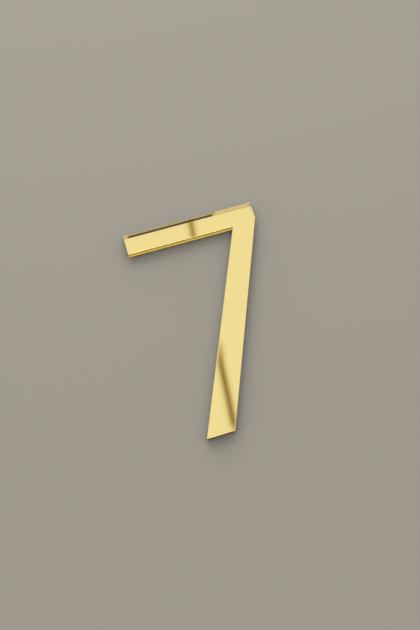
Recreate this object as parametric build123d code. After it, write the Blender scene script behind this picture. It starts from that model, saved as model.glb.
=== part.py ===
from build123d import *
import os
from math import atan, degrees

# Acrylic house number: the figure 7, laser cut in one piece from mirror sheet and bonded by its flat back.
# Millimetres, +Z up, +X to the reader's right. The wall plane is Y = 0 and the mirror faces -Y.
# The origin is on the back face, on the stem's centre line at half the figure's height.

# The figure's outline
figure_height = 100.0
bar_length = 61.4
bar_depth = 10.0
# The short upright edge at the bar's right end, from the top corner down to where the stem's slant begins
right_edge_height = 8.3
# The stem's widths are level ones: at the bar's lower edge and at the foot
neck_width = 10.8
foot_width = 12.2
# From the bar's left end to the foot's left corner
foot_inset = 10.3

# The sheet and the laser's cut
sheet_thickness = 3.0
# How far each cut edge leans in from the back face to the front face
kerf_lean = 0.06
# The beam's own radius leaves the front face's corners this round
corner_radius = 0.15
# The melted lip along the front edges
front_edge_radius = 0.1


def along(start, end, height):
    """The x of the straight edge from start to end, at a height."""
    share = (height - start[1]) / (end[1] - start[1])
    return start[0] + share * (end[0] - start[0])


# Corner points of the back face, first measured from the bar's left end and the foot's level
bar_bottom = figure_height - bar_depth
top_left = (0.0, figure_height)
top_right = (bar_length, figure_height)
slant_start = (bar_length, figure_height - right_edge_height)
foot_right = (foot_inset + foot_width, 0.0)
foot_left = (foot_inset, 0.0)
inner_corner = (along(slant_start, foot_right, bar_bottom) - neck_width, bar_bottom)
bar_end = (0.0, bar_bottom)
corners = [top_left, top_right, slant_start, foot_right, foot_left, inner_corner, bar_end]

# The stem's centre line at half height becomes the origin
middle_height = figure_height / 2
stem_left_x = along(inner_corner, foot_left, middle_height)
stem_right_x = along(slant_start, foot_right, middle_height)
origin_x = (stem_left_x + stem_right_x) / 2
back_points = [(x - origin_x, height - middle_height) for x, height in corners]

# The back face's outline, where the figure is largest and its corners are rounder by the lean
outline = make_face(Polyline(*back_points, close=True))
outline = fillet(outline.vertices(), corner_radius + kerf_lean)

# The cut edges lean in towards the front, where the beam enters and its kerf is widest
lean_angle = degrees(atan(kerf_lean / sheet_thickness))
number_seven = extrude(Plane.XZ * outline, amount=sheet_thickness, taper=lean_angle)

# The melted lip round the whole front face
front_face = number_seven.faces().sort_by(Axis.Y)[0]
number_seven = fillet(front_face.edges(), front_edge_radius)
number_seven.label = "number_seven"

os.makedirs("parts", exist_ok=True)
export_step(number_seven, "parts/number_seven.step")
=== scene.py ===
import bmesh
import bpy
from math import atan2, radians
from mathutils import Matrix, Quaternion, Vector


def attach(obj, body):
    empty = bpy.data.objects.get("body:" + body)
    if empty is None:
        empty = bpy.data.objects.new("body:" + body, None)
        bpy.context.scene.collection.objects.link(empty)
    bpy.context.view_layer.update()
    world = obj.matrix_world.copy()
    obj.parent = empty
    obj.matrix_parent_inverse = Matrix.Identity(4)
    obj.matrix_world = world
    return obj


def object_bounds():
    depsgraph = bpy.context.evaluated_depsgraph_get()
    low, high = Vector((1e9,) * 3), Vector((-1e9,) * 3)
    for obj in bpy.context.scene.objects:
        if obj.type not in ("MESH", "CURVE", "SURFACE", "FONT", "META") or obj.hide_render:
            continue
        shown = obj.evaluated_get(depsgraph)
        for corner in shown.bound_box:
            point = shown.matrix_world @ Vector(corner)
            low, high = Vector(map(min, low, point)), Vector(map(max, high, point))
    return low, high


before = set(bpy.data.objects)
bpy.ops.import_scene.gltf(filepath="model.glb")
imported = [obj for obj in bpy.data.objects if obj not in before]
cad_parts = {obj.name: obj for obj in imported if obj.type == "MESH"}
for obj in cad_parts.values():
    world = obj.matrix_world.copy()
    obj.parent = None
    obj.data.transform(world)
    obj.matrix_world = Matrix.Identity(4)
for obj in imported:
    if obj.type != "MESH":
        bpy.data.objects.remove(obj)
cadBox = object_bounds()
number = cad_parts["number_seven"]
print("frame loaded, figure box", [tuple(round(v, 5) for v in corner) for corner in cadBox])


class Wire:  # one node socket that can stand in sums
    def __init__(self, tree, socket=None):
        self.tree = tree
        self.socket = socket

    def node(self, kind, settings=None, sockets=None, output=0):
        made = self.tree.nodes.new(kind)
        for name, value in (settings or {}).items():
            setattr(made, name, value)
        for name, value in (sockets or {}).items():
            if isinstance(value, Wire):
                self.tree.links.new(value.socket, made.inputs[name])
            else:
                made.inputs[name].default_value = value
        return Wire(self.tree, made.outputs[output] if made.outputs else None)

    def sum(self, operation, first, second):
        return self.node("ShaderNodeMath", {"operation": operation}, {0: first, 1: second})

    def __add__(self, other):
        return self.sum("ADD", self, other)

    def __radd__(self, other):
        return self.sum("ADD", other, self)

    def __sub__(self, other):
        return self.sum("SUBTRACT", self, other)

    def __rsub__(self, other):
        return self.sum("SUBTRACT", other, self)

    def __mul__(self, other):
        return self.sum("MULTIPLY", self, other)

    def __rmul__(self, other):
        return self.sum("MULTIPLY", other, self)

    def ramp(self, low, high):  # 0 at low, 1 at high, smooth between
        settings = {"interpolation_type": "SMOOTHSTEP"}
        return self.node("ShaderNodeMapRange", settings, {"Value": self, "From Min": low, "From Max": high})

    def band(self, start, full, fade, end):  # 1 from full to fade, 0 before start and after end
        return self.ramp(start, full) * (1 - self.ramp(fade, end))

    def mix(self, factor, first, second):  # colours
        return self.node("ShaderNodeMix", {"data_type": "RGBA"}, {0: factor, 6: first, 7: second}, 2)

    def mixShader(self, factor, first, second):
        return self.node("ShaderNodeMixShader", None, {0: factor, 1: first, 2: second})

    def noise(self, place, scale, detail):
        return self.node("ShaderNodeTexNoise", None, {"Vector": place, "Scale": scale, "Detail": detail})

    def bump(self, height, depth):
        return self.node("ShaderNodeBump", None, {"Height": height, "Distance": depth})

    def stretch(self, place, scale):
        return self.node("ShaderNodeMapping", None, {"Vector": place, "Scale": scale})

    def objectPlace(self):
        return self.node("ShaderNodeTexCoord", None, None, "Object")

    def part(self, axis):
        return self.node("ShaderNodeSeparateXYZ", None, {0: self}, axis)


def newMaterial(name):
    material = bpy.data.materials.new(name)
    material.use_nodes = True
    material.node_tree.nodes.clear()
    return material, Wire(material.node_tree)


def output(wire, surface, volume=None):
    links = {"Surface": surface}
    if volume:
        links["Volume"] = volume
    wire.node("ShaderNodeOutputMaterial", None, links)


# Clear amber acrylic: polished face, laser cut edges
acrylic = {
    "ior": 1.49,
    "faceDepth": 0.00005,  # what lies this close behind the front plane is the polished face
    "faceRoughness": 0.004,
    "smudgeScale": 55.0,
    "smudgeRange": (0.45, 0.75),
    "smudgeRoughness": 0.012,
    "edgeRoughness": 0.03,
    "striationScale": (5200.0, 240.0, 5200.0),
    "striationDepth": 0.000001,
    "absorbColour": (0.98, 0.90, 0.0, 1.0),
    "absorbDensity": 75.0,
}


def acrylicMaterial(frontY):
    material, wire = newMaterial("amberAcrylic")
    place = wire.objectPlace()
    edge = place.part("Y").ramp(frontY + acrylic["faceDepth"], frontY + 2 * acrylic["faceDepth"])
    striae = wire.noise(wire.stretch(place, acrylic["striationScale"]), 1.0, 3.0)
    smudge = wire.noise(place, acrylic["smudgeScale"], 4.0).ramp(*acrylic["smudgeRange"])
    face = smudge * acrylic["smudgeRoughness"] + acrylic["faceRoughness"]
    shader = wire.node("ShaderNodeBsdfPrincipled", None, {
        "Base Color": (1.0, 1.0, 1.0, 1.0),
        "Roughness": face + edge * acrylic["edgeRoughness"],
        "IOR": acrylic["ior"],
        "Transmission Weight": 1.0,
        "Normal": wire.bump(striae * edge, acrylic["striationDepth"]),
    })
    absorb = wire.node("ShaderNodeVolumeAbsorption", None, {
        "Color": acrylic["absorbColour"],
        "Density": acrylic["absorbDensity"],
    })
    output(wire, shader, absorb)
    return material


# Mirror coat and the paint that guards it, both on the sheet's back
coat = {
    "inset": 0.000005,
    "frontY": -0.000016,
    "thickness": 0.000008,
    "colour": (0.878, 0.741, 0.436, 1.0),
    "paleColour": (0.894, 0.759, 0.454, 1.0),
    "cloudScale": 25.0,
    "cloudRange": (0.3, 0.7),
    "roughness": 0.012,
    "hazeScale": 40.0,
    "hazeRange": (0.4, 0.8),
    "hazeRoughness": 0.01,
    "waveScale": 42.0,
    "waveDepth": 0.000003,  # the sheet is never quite flat
}
paint = {
    "inset": 0.000002,
    "frontY": -0.000005,
    "thickness": 0.000015,
    "colour": (0.23, 0.23, 0.22, 1.0),
    "paleColour": (0.28, 0.28, 0.27, 1.0),
    "cloudScale": 60.0,
    "cloudRange": (0.35, 0.7),
    "roughness": 0.5,
    "cloudRoughness": 0.12,
    "peelScale": 900.0,
    "peelDepth": 0.000012,
}
layers = {
    "mergeDistance": 0.000002,
    "backFacing": 0.9,  # faces that point this much along +Y are the sheet's back
    "flatAngle": 1.0,
}


def backLayer(name, settings, material):
    layer = bpy.data.objects.new(name, number.data.copy())
    bpy.context.collection.objects.link(layer)
    bpy.ops.object.select_all(action="DESELECT")
    layer.select_set(True)
    bpy.context.view_layer.objects.active = layer
    layer.data.materials.clear()
    layer.data.materials.append(material)
    bpy.ops.object.mode_set(mode="EDIT")
    bpy.ops.mesh.select_all(action="SELECT")
    bpy.ops.mesh.customdata_custom_splitnormals_clear()
    bpy.ops.mesh.remove_doubles(threshold=layers["mergeDistance"])
    shape = bmesh.from_edit_mesh(layer.data)
    for face in shape.faces:
        face.select = face.normal.y < layers["backFacing"]
    bmesh.update_edit_mesh(layer.data)
    bpy.ops.mesh.delete(type="FACE")
    bpy.ops.mesh.select_all(action="SELECT")
    bpy.ops.mesh.dissolve_limited(angle_limit=radians(layers["flatAngle"]))
    bpy.ops.mesh.select_all(action="SELECT")
    bpy.ops.mesh.inset(thickness=settings["inset"], use_even_offset=True)
    bpy.ops.mesh.select_all(action="INVERT")
    bpy.ops.mesh.delete(type="VERT")  # the rim outside the inset
    bpy.ops.mesh.select_all(action="SELECT")
    bpy.ops.transform.translate(value=(0, settings["frontY"] + settings["thickness"], 0))
    bpy.ops.mesh.extrude_region_move(TRANSFORM_OT_translate={"value": (0, -settings["thickness"], 0)})
    bpy.ops.mesh.select_all(action="SELECT")
    bpy.ops.mesh.normals_make_consistent(inside=False)
    bpy.ops.object.mode_set(mode="OBJECT")
    bpy.ops.object.shade_flat()
    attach(layer, "root")
    print("layer", name, len(layer.data.vertices), "points")
    return layer


def coatMaterial():
    material, wire = newMaterial("goldMirrorCoat")
    place = wire.objectPlace()
    haze = wire.noise(place, coat["hazeScale"], 3.0).ramp(*coat["hazeRange"])
    cloud = wire.noise(place, coat["cloudScale"], 2.0).ramp(*coat["cloudRange"])
    wave = wire.noise(place, coat["waveScale"], 0.0)
    shader = wire.node("ShaderNodeBsdfPrincipled", None, {
        "Base Color": wire.mix(cloud, coat["colour"], coat["paleColour"]),
        "Metallic": 1.0,
        "Roughness": haze * coat["hazeRoughness"] + coat["roughness"],
        "Normal": wire.bump(wave, coat["waveDepth"]),
    })
    output(wire, shader)
    return material


def paintMaterial():
    material, wire = newMaterial("greyBackPaint")
    place = wire.objectPlace()
    cloud = wire.noise(place, paint["cloudScale"], 4.0).ramp(*paint["cloudRange"])
    peel = wire.noise(place, paint["peelScale"], 2.0)
    shader = wire.node("ShaderNodeBsdfPrincipled", None, {
        "Base Color": wire.mix(cloud, paint["colour"], paint["paleColour"]),
        "Roughness": paint["roughness"] + cloud * paint["cloudRoughness"],
        "Normal": wire.bump(peel, paint["peelDepth"]),
    })
    output(wire, shader)
    return material


number.data.materials.clear()
number.data.materials.append(acrylicMaterial(cadBox[0].y))
mirrorCoat = backLayer("mirror_coat", coat, coatMaterial())
backPaint = backLayer("back_paint", paint, paintMaterial())
backPaint.visible_diffuse = False  # keeps the gap behind the figure dark
print("figure dressed")

# Plain wall behind the figure, seen only from its front
wall = {
    "gap": 0.0005,
    "size": 4.0,
    "colour": (0.335, 0.311, 0.267, 1.0),
    "roughness": 0.8,
}


def buildWall():
    bpy.ops.object.select_all(action="DESELECT")
    place = (0, wall["gap"], 0)
    bpy.ops.mesh.primitive_plane_add(size=wall["size"], location=place, rotation=(radians(90), 0, 0))
    plane = bpy.context.object
    plane.name = "wall"
    material, wire = newMaterial("plainWall")
    behind = wire.node("ShaderNodeNewGeometry", None, None, "Backfacing")
    plain = wire.node("ShaderNodeBsdfPrincipled", None, {
        "Base Color": wall["colour"],
        "Roughness": wall["roughness"],
    })
    clear = wire.node("ShaderNodeBsdfTransparent")
    output(wire, wire.mixShader(behind, plain, clear))
    plane.data.materials.append(material)
    plane.visible_diffuse = False  # light reaches the figure's back
    plane.visible_shadow = False


# Soft dark line and small dark card that only the mirror sees
flags = {
    "lineLow": (0.0403, -0.75, -0.05),
    "lineHigh": (0.1292, -0.75, 0.87),
    "lineWidth": 0.0334,
    "coreReach": 0.29,  # places across the line, and along it, run from -0.5 to 0.5
    "haloFull": 0.2,
    "haloShare": 0.18,
    "bendStretch": (-0.258, -0.2, -0.17, -0.13),
    "bendReach": 0.2,
    "lineColour": (0.32, 0.237, 0.098, 1.0),
    "linePaleColour": (0.45, 0.355, 0.19, 1.0),  # towards the top
    "paleRange": (-0.25, -0.1),
    "lowStretch": (-0.39, -0.357, -0.257, -0.187),
    "highStretch": (-0.12, -0.02, 0.12, 0.40),
    "cardCentre": (0.0085, -0.262, -0.1025),
    "cardWidth": 0.085,
    "cardHeight": 0.095,
    "cardColour": (0.07, 0.034, 0.008, 1.0),
    "cardFade": (0.09, 0.5),
    "secondGlance": (1.2, 1.8),
}


def mirrorOnly(thing):
    thing.visible_camera = False
    thing.visible_diffuse = False
    thing.visible_shadow = False
    thing.visible_volume_scatter = False


def addUpright(name, centre, width, height, lean=0.0):
    bpy.ops.object.select_all(action="DESELECT")
    bpy.ops.mesh.primitive_plane_add(size=1, location=centre, rotation=(radians(90), lean, 0))
    plane = bpy.context.object
    plane.name = name
    plane.scale = (width, height, 1)
    mirrorOnly(plane)
    return plane


def shadeUpright(plane, wire, material, colour, seen):  # dark where seen is 1, clear elsewhere
    dark = wire.node("ShaderNodeEmission", None, {"Color": colour})
    clear = wire.node("ShaderNodeBsdfTransparent")
    output(wire, wire.mixShader(seen, clear, dark))
    plane.data.materials.append(material)


def twiceMirrored(wire):  # 0 on the plain face, 1 where the sheet's edges mirror again
    glances = wire.node("ShaderNodeLightPath", None, None, "Glossy Depth")
    return glances.ramp(*flags["secondGlance"])


def buildLine():
    low, high = Vector(flags["lineLow"]), Vector(flags["lineHigh"])
    reach = high - low
    lean = atan2(reach.x, reach.z)
    line = addUpright("darkLine", (low + high) / 2, flags["lineWidth"], reach.length, lean)
    material, wire = newMaterial("softDark")
    place = wire.objectPlace()
    up = place.part("Y")
    across = place.part("X") - up.band(*flags["bendStretch"]) * flags["bendReach"]
    core = across.band(-flags["coreReach"], 0.0, 0.0, flags["coreReach"])
    halo = across.band(-0.5, -flags["haloFull"], flags["haloFull"], 0.5)
    soft = core * (1 - flags["haloShare"]) + halo * flags["haloShare"]
    stretches = up.band(*flags["lowStretch"]) + up.band(*flags["highStretch"])
    colour = wire.mix(up.ramp(*flags["paleRange"]), flags["lineColour"], flags["linePaleColour"])
    shadeUpright(line, wire, material, colour, soft * stretches * (1 - twiceMirrored(wire)))


def buildCard():
    card = addUpright("darkCard", flags["cardCentre"], flags["cardWidth"], flags["cardHeight"])
    material, wire = newMaterial("plainDark")
    seen = twiceMirrored(wire) * (1 - wire.objectPlace().part("Y").ramp(*flags["cardFade"]))
    shadeUpright(card, wire, material, flags["cardColour"], seen)


buildWall()
buildLine()
buildCard()
print("stage built")

# Soft light: a pale room, darker below, and one large lamp above
light = {
    "ceiling": (1.0, 0.99, 0.97, 1.0),
    "ceilingRange": (-0.30, 0.12),  # heights run from -1 below to 1 above
    "lowWalls": (0.74, 0.72, 0.68, 1.0),
    "lowWallsRange": (-0.78, -0.42),
    "floor": (0.12, 0.112, 0.10, 1.0),
    "floorSeen": (0.5, 0.485, 0.46, 1.0),  # the floor that the camera, the mirror and the clear sheet see
    "lampPlace": (0.15, -0.6, 1.6),
    "lampSize": 1.6,
    "lampPower": 22.0,
    "bounces": 128,  # the clear sheet guides light from edge to edge
}


def buildRoom():
    world = bpy.data.worlds.new("paleRoom")
    bpy.context.scene.world = world
    world.use_nodes = True
    world.node_tree.nodes.clear()
    wire = Wire(world.node_tree)
    height = wire.node("ShaderNodeTexCoord", None, None, "Generated").part("Z")
    rays = ("Is Camera Ray", "Is Glossy Ray", "Is Transmission Ray")
    straight, mirrored, through = (wire.node("ShaderNodeLightPath", None, None, ray) for ray in rays)
    floor = wire.mix(straight + mirrored + through, light["floor"], light["floorSeen"])
    low = wire.mix(height.ramp(*light["lowWallsRange"]), floor, light["lowWalls"])
    room = wire.mix(height.ramp(*light["ceilingRange"]), low, light["ceiling"])
    sky = wire.node("ShaderNodeBackground", None, {"Color": room})
    wire.node("ShaderNodeOutputWorld", None, {"Surface": sky})


def buildLamp():
    bpy.ops.object.light_add(type="AREA", location=light["lampPlace"])
    lamp = bpy.context.object
    lamp.name = "softLamp"
    lamp.data.size = light["lampSize"]
    lamp.data.energy = light["lampPower"]
    lamp.rotation_mode = "QUATERNION"
    lamp.rotation_quaternion = (-Vector(light["lampPlace"])).to_track_quat("-Z", "Y")


def setLightPaths():
    paths = bpy.context.scene.cycles
    paths.max_bounces = light["bounces"]
    paths.glossy_bounces = light["bounces"]
    paths.transmission_bounces = light["bounces"]
    paths.caustics_reflective = False  # keeps the figure's shadow clean
    paths.caustics_refractive = False


camera = {
    "place": (-0.03782, -0.25299, -0.08790),
    "aim": (-0.01082, -0.003, 0.00128),
    "roll": -17.874,
    "lens": 34.846,
    "sensor": 36.0,
    "near": 0.01,
}


def buildCamera():
    place, aim = Vector(camera["place"]), Vector(camera["aim"])
    bpy.ops.object.camera_add(location=place)
    eye = bpy.context.object
    eye.name = "photoCamera"
    eye.data.lens = camera["lens"]
    eye.data.sensor_width = camera["sensor"]
    eye.data.clip_start = camera["near"]
    turn = Quaternion((0, 0, 1), radians(camera["roll"]))
    eye.rotation_mode = "QUATERNION"
    eye.rotation_quaternion = (aim - place).to_track_quat("-Z", "Y") @ turn
    bpy.context.scene.camera = eye


buildRoom()
buildLamp()
setLightPaths()
buildCamera()
bpy.context.scene.view_settings.view_transform = "Standard"
print("light and camera set")

bpy.context.view_layer.update()
